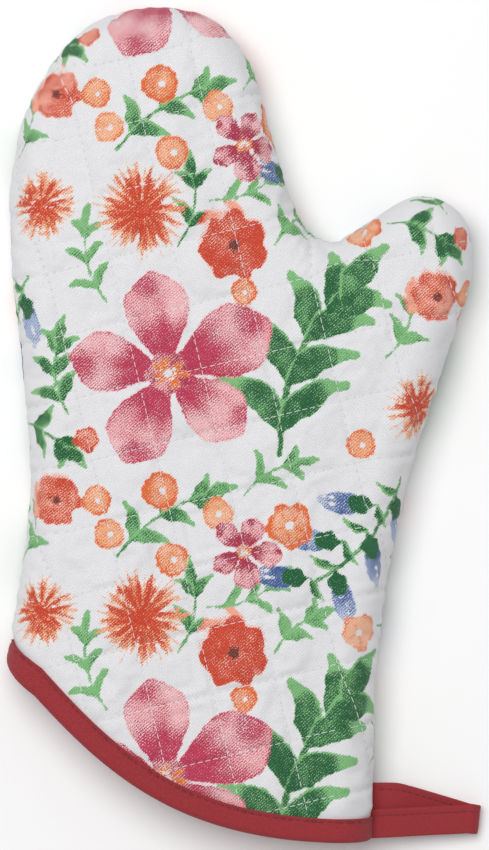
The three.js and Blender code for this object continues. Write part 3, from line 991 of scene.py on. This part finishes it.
print("making the wadding and linings")
for side in (1, -1):
    word = panelName[side]
    wadding = layerPiece(word + "Wadding", side, layers["battingTop"], layers["battingFoot"],
                         "batting", 1.0, -0.35, 2.0)
    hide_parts(word + "_batting", "thumb_" + word + "_batting")
    lining = layerPiece(word + "Lining", side, layers["liningTop"], layers["liningFoot"],
                        "lining_cotton", -0.35, -0.35, 1.6)
    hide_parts(word + "_lining", "thumb_" + word + "_lining")


# stitches: one is modelled, and each line of sewing is a row of copies in one mesh

stitch = {
    "thick": 0.3, "rise": 0.04, "sink": 0.3,
    "cells": 4, "period": 5,  # mesh cells in one stitch, and from one stitch to the next
    "fromSeam": 1, "fromCuff": 9.5,
}


def stitchShape():  # a short round thread that dives into the cloth at both ends, along X from -0.5 to 0.5
    nothingSelected()
    bpy.ops.mesh.primitive_cylinder_add(vertices=6, radius=0.5, depth=1, end_fill_type="TRIFAN",
                                        rotation=(0, pi / 2, 0))
    piece = bpy.context.object
    bpy.ops.object.transform_apply(location=True, rotation=True, scale=True)
    bpy.ops.object.mode_set(mode="EDIT")
    bpy.ops.mesh.select_all(action="SELECT")
    for place in (-0.43, -0.36, 0.0, 0.36, 0.43):
        bpy.ops.mesh.select_all(action="SELECT")
        bpy.ops.mesh.bisect(plane_co=(place, 0, 0), plane_no=(1, 0, 0))
    bpy.ops.object.mode_set(mode="OBJECT")
    points = np.array([v.co for v in piece.data.vertices])
    faces = [tuple(p.vertices) for p in piece.data.polygons]
    mesh = piece.data
    bpy.data.objects.remove(piece)
    bpy.data.meshes.remove(mesh)
    return points, faces


# stitches from start to end points, with the way out of the cloth at each
def stitchRow(name, starts, ends, out, thick, rise, sink, finish):
    points, faces = stitchModel
    along = ends - starts
    size = np.linalg.norm(along, axis=1)[:, None]
    along = along / size
    across = np.cross(out, along)
    across /= np.linalg.norm(across, axis=1)[:, None]
    up = np.cross(along, across)
    middle = (starts + ends) / 2
    x, y, z = points.T
    arch = rise - (rise + sink) * (2 * np.abs(x)) ** 6
    places = (
        middle[:, None]
        + along[:, None] * x[None, :, None] * size[:, None]
        + across[:, None] * (y * thick)[None, :, None]
        + up[:, None] * (z * thick + arch)[None, :, None]
    )
    count = len(points)
    allFaces = [tuple(i + k * count for i in f) for k in range(len(starts)) for f in faces]
    piece = makeMesh(name, places.reshape(-1, 3), allFaces)
    dress(piece, finish)
    return piece


stitchModel = stitchShape()


# start and end points of the stitches along both families of lattice lines
def quiltingRows(panel):
    index = np.full(len(flat), -1)
    index[panel["points"]] = np.arange(len(panel["points"]))
    index = index.reshape(shape)
    edge = edgeAll.reshape(shape)
    cuffGap = cuffAll.reshape(shape)
    period, run = stitch["period"], stitch["cells"]
    starts, ends = [], []
    for family in (0, 1):
        grid = index if family == 0 else index.T
        edges = edge if family == 0 else edge.T
        cuffs = cuffGap if family == 0 else cuffGap.T
        lines = rowIndex if family == 0 else columnIndex
        for row in np.flatnonzero(lines % quilt["fineSteps"] == 0):
            offset = (row * 7) % period
            for k in range(offset, grid.shape[1] - run, period):
                span = slice(k, k + run + 1)
                offSeam = edges[row, span].min() > stitch["fromSeam"]
                clear = offSeam and cuffs[row, span].min() > stitch["fromCuff"]
                if clear and (grid[row, span] >= 0).all():
                    starts.append(grid[row, k])
                    ends.append(grid[row, k + run])
    return np.array(starts), np.array(ends)


loopFoot = (54.6, -153.2, 13)
loopClear = 8  # mm round the loop's foot without a stitch
print("sewing the quilting")
for side in (1, -1):
    coverPlaces = covers[side][1]
    first, last = quiltingRows(finePanel)
    beside = np.abs(coverPlaces[last] - loopFoot).max(1) < loopClear  # no stitch where the loop's ends turn
    first, last = first[~beside], last[~beside]
    # painted shade: each stitch end is marked in the needle attribute, which darkens the cloth there as a
    # painted shadow in the needle hole
    needle = np.zeros(len(coverPlaces), np.float32)
    needle[first] = needle[last] = 1
    needleHoleShadeLayer = covers[side][0].data.attributes.new("needle", "FLOAT", "POINT")
    needleHoleShadeLayer.data.foreach_set("value", needle)
    starts, ends = coverPlaces[first], coverPlaces[last]
    middle = (starts + ends) / 2
    planNow = nearest(middle[:, :2], outline)
    out = np.column_stack([np.zeros((len(middle), 2)), np.full(len(middle), float(side))])
    tilt = np.clip(1 - planNow[0] / cut["rim"], 0, 1) ** 1.5
    out[:, :2] = -planNow[2] * tilt[:, None] * 2
    out /= np.linalg.norm(out, axis=1)[:, None]
    quilting = stitchRow(panelName[side] + "QuiltingStitches", starts, ends, out,
                         stitch["thick"], stitch["rise"], stitch["sink"], "white_thread")
    foldsWithThumb(quilting)
    print("  stitches:", len(starts))


# side seam, inside the mitt

# a closed band along the inside of the side seam
def seamStrip(name, nodes, finish, outer, inner, thick, wave, margin):
    route = seamLine
    keep = nearest(route, cuffLine)[0] > margin
    route = route[keep]
    way = np.gradient(route, axis=0)
    way /= np.linalg.norm(way, axis=1)[:, None]
    inwardWay = np.column_stack([-way[:, 1], way[:, 0]])
    rings = []
    section = [(outer, -1), (inner, -1), (inner, 0), (inner, 1), (outer, 1), (outer, 0)]
    for k, (p, n) in enumerate(zip(route, inwardWay)):
        ripple = wave * sin(k * 1.1)
        rings.append([[*(p + n * (d + (ripple if d == inner else 0))),
                       cut["seamZ"] + h * thick / 2 + (0.3 * ripple if d == inner else 0)]
                      for d, h in section])
    places = np.array(rings).reshape(-1, 3)
    piece = makeMesh(name, places, tubeFaces(len(route), len(section)))
    facesOutward(piece)
    bpy.ops.object.shade_smooth_by_angle(angle=radians(40))
    dress(piece, finish)
    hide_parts(*nodes)
    foldsWithThumb(piece)
    return piece


print("making the seam")
parts = ("finger", "wrist", "thumb")
seamStrip("seamAllowance", [p + "_seam_allowance" for p in parts], "lining_cotton", 7.3, 14.0, 2.8, 0.5, 11)
seamStrip("seamThread", [p + "_seam_thread" for p in parts], "white_thread", 6.1, 6.9, 0.9, 0.0, 11)


# cuff binding: a tape folded over the edge of all the layers, with a topstitch

binding = {
    "wide": 9.6, "thick": 0.85, "gap": 0.4, "inside": 6.1, "fold": 2, "columns": 230,
    "stitchAt": 8.2,  # up from the cuff's edge
    "stitchStep": 3.1,
    "stitchFromTo": (0.6, 3.0),  # ends of one stitch within its step
    "stitchDip": 0.35,
}


# pattern points along the cuff, this far up from its edge, from side seam to side seam
def cuffRow(distance, columns):
    line = bezier(cut["cuff"], 1200)[::-1]
    way = np.gradient(line, axis=0)
    way /= np.linalg.norm(way, axis=1)[:, None]
    up = np.column_stack([-way[:, 1], way[:, 0]])
    moved = line + up * distance
    edge = nearest(moved, outline)[0]
    inside = np.flatnonzero(edge > 0)
    first, last = inside[0], inside[-1]
    length = np.concatenate([[0], np.cumsum(np.linalg.norm(np.diff(moved[first:last + 1], axis=0), axis=1))])
    at = np.linspace(0, length[-1], columns)
    row = np.column_stack([np.interp(at, length, moved[first:last + 1, k]) for k in (0, 1)])
    return row, at


# (distance up the cloth, depth under its face) round the folded tape, and how much of the squeeze applies
def bindingSection():
    t, g, w, inside = binding["thick"], binding["gap"], binding["wide"], binding["inside"]
    section = []
    for d in np.linspace(w, 2.2, 14):
        section.append((d, -g - t, 1.0))
    middle, reach = (inside - g) / 2, (inside + g) / 2 + t
    for a in np.linspace(0, pi, 9)[1:-1]:
        section.append((2.2 - 2.2 * sin(a), middle - reach * cos(a), cos(a)))
    for d in np.linspace(2.2, w, 14):
        section.append((d, inside + t, -1.0))
    section.append((w, inside, -1.0))
    for d in np.linspace(w - 1, 2.6, 6):
        section.append((d, inside, -1.0))
    for a in np.linspace(pi, 0, 7)[1:-1]:
        section.append((2.6 - 1.5 * sin(a), middle - (reach - t) * cos(a), cos(a)))
    for d in np.linspace(2.6, w - 1, 6):
        section.append((d, -g, 1.0))
    section.append((w, -g, 1.0))
    return section


def cuffBinding():
    section = bindingSection()
    rings = []
    maps = []
    columns = binding["columns"]
    for side in (1, -1):
        bySection = []
        mapRow = []
        for k, (d, depth, squeeze) in enumerate(section):
            row, along = cuffRow(d, columns)
            found = nearest(row, outline)
            way = found[2].copy()
            way[[0, -1]] = way[[1, -2]]
            found = (np.where(found[0] < 0.02, 0, found[0]), found[1], way)
            pucker = 0.22 * np.sin(along / 2.6 + 2 * np.sin(along / 11))
            pucker = pucker * np.exp(-((d - binding["stitchAt"]) / 2.5) ** 2)
            dip = -binding["stitchDip"] * np.exp(-((d - binding["stitchAt"]) / 0.7) ** 2)
            sewn = pucker + dip if depth < 0 and squeeze == 1.0 else 0
            lift = squeeze * bindingSqueeze(d) + sewn * smoothStep(0, 4, found[0])
            places, _ = onPillow(None, side, depth, lift, found)
            bySection.append(places)
            upTape = np.full(columns, d if depth < 3 else -d)
            mapRow.append(np.column_stack([along if side > 0 else -along, upTape]))
        rings.append(np.array(bySection).transpose(1, 0, 2))
        maps.append(np.array(mapRow).transpose(1, 0, 2))
    around = np.concatenate([rings[0], rings[1][::-1][1:-1]])
    mapAround = np.concatenate([maps[0], maps[1][::-1][1:-1]]).reshape(-1, 2)
    count, n = around.shape[:2]
    faces = []
    for k in range(count):
        for i in range(n):
            a, b = k * n + i, k * n + (i + 1) % n
            c, d = ((k + 1) % count) * n + (i + 1) % n, ((k + 1) % count) * n + i
            faces.append((a, b, c, d))
    places = around.reshape(-1, 3)
    places[:, 2] = np.maximum(places[:, 2], 0.0)
    piece = makeMesh("cuffBinding", places, faces)
    facesOutward(piece)
    giveMap(piece, mapAround)
    dress(piece, "binding_twill")
    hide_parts("cuff_binding")
    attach(piece, "mitt")
    length = 2 * cuffRow(0.5, columns)[1][-1]
    return piece


def bindingStitches():
    starts, ends, outs = [], [], []
    for side in (1, -1):
        row, along = cuffRow(binding["stitchAt"], 1000)
        total = along[-1]
        for k in range(int(total / binding["stitchStep"])):
            fromTo = [k * binding["stitchStep"] + end for end in binding["stitchFromTo"]]
            a, b = [np.array([[np.interp(s, along, row[:, c]) for c in (0, 1)]]) for s in fromTo]
            fade = smoothStep(0, 4, nearest(a, outline)[0])
            lift = bindingSqueeze(binding["stitchAt"]) - binding["stitchDip"] * fade
            p, out = onPillow(a, side, -binding["gap"] - binding["thick"], lift)
            q, _ = onPillow(b, side, -binding["gap"] - binding["thick"], lift)
            starts.append(p[0])
            ends.append(q[0])
            outs.append(out[0])
    piece = stitchRow("bindingTopstitch", np.array(starts), np.array(ends), np.array(outs),
                      0.5, 0.22, 0.3, "red_thread")
    places = np.array([v.co for v in piece.data.vertices])
    places[:, 2] = np.maximum(places[:, 2], 0.0)
    piece.data.vertices.foreach_set("co", places.ravel())
    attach(piece, "mitt")
    return piece


print("binding the cuff")
cuffBinding()
bindingStitches()


# hanging loop: the binding tape folded lengthwise, stitched, and doubled into the side seam

loop = {
    "wide": 11.5, "thick": 1.5, "hinge": loopFoot, "reach": 38.3, "foldRadius": 3.4, "caught": 4.4,
    "topY": -158.5, "lowY": -148.0, "foldY": -157.0, "tilt": radians(7), "stitchIn": 2.6,
    "stitchStep": 3.0, "stitchFromTo": (0.3, 2.6),
}


def loopRoute():  # middle line of the tape, its width way and its outer face way at each station
    across = np.array([sin(loop["tilt"]), cos(loop["tilt"]), 0])
    outwards = np.array([across[1], -across[0], 0])
    tip = np.array([loop["hinge"][0] + loop["reach"] - loop["foldRadius"], loop["foldY"], 0])
    foldZ = loop["foldRadius"] + 0.8 + 0.3
    seamZ = loop["hinge"][2]
    rootX = loop["hinge"][0] - loop["caught"]
    stations = []

    def strand(rootY, rootZ, endZ, side, straight):  # straight is the share that stays level before it slants
        made = []
        for t in np.linspace(0, 1, 26):
            ease = t * t * (3 - 2 * t)
            past = [np.hypot(v - straight, 0.05) + v - straight for v in (0, t, 1)]
            slant = (past[1] - past[0]) / (past[2] - past[0])
            middle = np.array([
                rootX + (tip[0] - rootX) * t,
                rootY + (tip[1] - rootY) * slant,
                rootZ + (endZ - rootZ) * ease + 0.25 * sin(9 * t) * sin(pi * t),
            ])
            wide = np.array([0, 1, 0]) * (1 - slant) + across * slant
            made.append((middle, wide / np.linalg.norm(wide), np.array([0, 0, side])))
        return made

    stations += strand(loop["topY"], seamZ + 1, foldZ + loop["foldRadius"], 1, -0.5)
    for angle in np.linspace(pi / 2, -pi / 2, 15)[1:-1]:
        up = outwards * cos(angle) + np.array([0, 0, sin(angle)])
        stations.append((np.array([*tip[:2], foldZ]) + up * loop["foldRadius"], across, up))
    stations += strand(loop["lowY"], seamZ - 1, foldZ - loop["foldRadius"], -1, 0.28)[::-1]
    return stations


def tapeSection():  # a tape folded lengthwise: round at the fold, two leaves with a slit at the open edge
    w, t = loop["wide"] / 2, loop["thick"] / 2
    leafEdge = 0.12
    section = [(-w + t - t * sin(a), -t * cos(a)) for a in np.linspace(0, pi, 7)]
    section += [(x, t) for x in np.linspace(-w + 2, w - 0.3, 10)]
    section += [(w, t - 0.25), (w - 0.02, leafEdge + 0.1), (w - 1.2, 0.02), (w - 1.2, -0.02)]
    section += [(w - 0.12, -leafEdge - 0.1), (w - 0.1, -t + 0.25)]
    section += [(x, -t) for x in np.linspace(w - 0.4, -w + 2, 10)]
    return section


def hangingLoop():
    stations = loopRoute()
    section = tapeSection()
    places, mapped = [], []
    run = 0.0
    before = None
    for middle, wide, up in stations:
        run += 0 if before is None else np.linalg.norm(middle - before)
        before = middle
        face = up - wide * (up @ wide)
        face = face / np.linalg.norm(face)
        for x, z in section:
            seamDip = 0.22 * np.exp(-((x - (loop["wide"] / 2 - loop["stitchIn"])) / 0.8) ** 2)
            pinch = -np.sign(z) * seamDip if abs(z) > 0.3 else 0
            places.append(middle + wide * x + face * (z + pinch + 0.05 * sin(run * 1.9 + x)))
            mapped.append((run, x + (20 if z < 0 else 0)))
    piece = makeMesh("hangingLoopTape", places, tubeFaces(len(stations), len(section)))
    facesOutward(piece)
    bpy.ops.object.shade_smooth_by_angle(angle=radians(50))
    giveMap(piece, np.array(mapped))
    dress(piece, "binding_twill")
    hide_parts("hanging_loop")
    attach(piece, "loop")
    return stations


def loopStitches(stations):
    middles = np.array([s[0] for s in stations])
    wides = np.array([s[1] for s in stations])
    ups = np.array([s[2] for s in stations], float)
    length = np.concatenate([[0], np.cumsum(np.linalg.norm(np.diff(middles, axis=0), axis=1))])
    starts, ends, outs = [], [], []
    for k in range(int(length[-1] / loop["stitchStep"])):
        rows = []
        for s in [k * loop["stitchStep"] + end for end in loop["stitchFromTo"]]:
            m, w, u = [
                np.array([np.interp(s, length, v[:, c]) for c in range(3)]) for v in (middles, wides, ups)
            ]
            rows.append((m + w * (loop["wide"] / 2 - loop["stitchIn"]), u))
        for sign in (1, -1):
            starts.append(rows[0][0] + sign * rows[0][1] * (loop["thick"] / 2 - 0.2))
            ends.append(rows[1][0] + sign * rows[1][1] * (loop["thick"] / 2 - 0.2))
            outs.append(sign * rows[0][1])
    piece = stitchRow("loopEdgeStitch", np.array(starts), np.array(ends), np.array(outs),
                      0.45, 0.18, 0.25, "red_thread")
    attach(piece, "loop")


print("making the loop")
loopStations = hangingLoop()
loopStitches(loopStations)
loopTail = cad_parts["loop_tail"]
loopTail.data.materials.clear()
loopTail.data.materials.append(redTwill(mapped=False))


# floor, light and camera

studio = {
    "floor": "#fdfdfd",
    "world": 0.42,
    "power": 21,
    "height": 2600,  # camera over the surface
    "frameHigh": 337.1,  # height of the view at the seam
    "centre": (0.2, -0.4),
}


def floor():
    nothingSelected()
    bpy.ops.mesh.primitive_plane_add(size=6, location=(0, 0, 0))
    piece = bpy.context.object
    piece.name = "floor"
    made, tree, shader = newMaterial("pale paper", 0.9)
    shader.inputs["Base Color"].default_value = linearColour(studio["floor"])
    piece.data.materials.append(made)


def areaLight(name, place, aim, size, power):
    nothingSelected()
    bpy.ops.object.light_add(type="AREA", location=place)
    lamp = bpy.context.object
    lamp.name = name
    lamp.data.shape = "DISK"
    lamp.data.size = size
    lamp.data.energy = power
    lamp.visible_camera = False
    way = np.array(aim, float) - np.array(place, float)
    lamp.rotation_euler = Vector(way).to_track_quat("-Z", "Y").to_euler()


def lights():
    world = bpy.data.worlds.new("studio")
    bpy.context.scene.world = world
    world.use_nodes = True
    world.node_tree.nodes["Background"].inputs["Color"].default_value = (1, 1, 1, 1)
    world.node_tree.nodes["Background"].inputs["Strength"].default_value = studio["world"]
    areaLight("softBox", (-0.3, 0.4, 1.7), (0, 0, 0), 1.2, studio["power"])


def camera():
    nothingSelected()
    high = studio["height"] / 1000
    bpy.ops.object.camera_add(location=(studio["centre"][0] / 1000, studio["centre"][1] / 1000, high),
                              rotation=(0, 0, 0))
    made = bpy.context.object
    made.data.sensor_width = 36
    made.data.lens = 36 * (studio["height"] - cut["seamZ"]) / studio["frameHigh"]
    bpy.context.scene.camera = made


print("setting up the studio")
floor()
lights()
camera()
bpy.context.scene.view_settings.view_transform = "Standard"
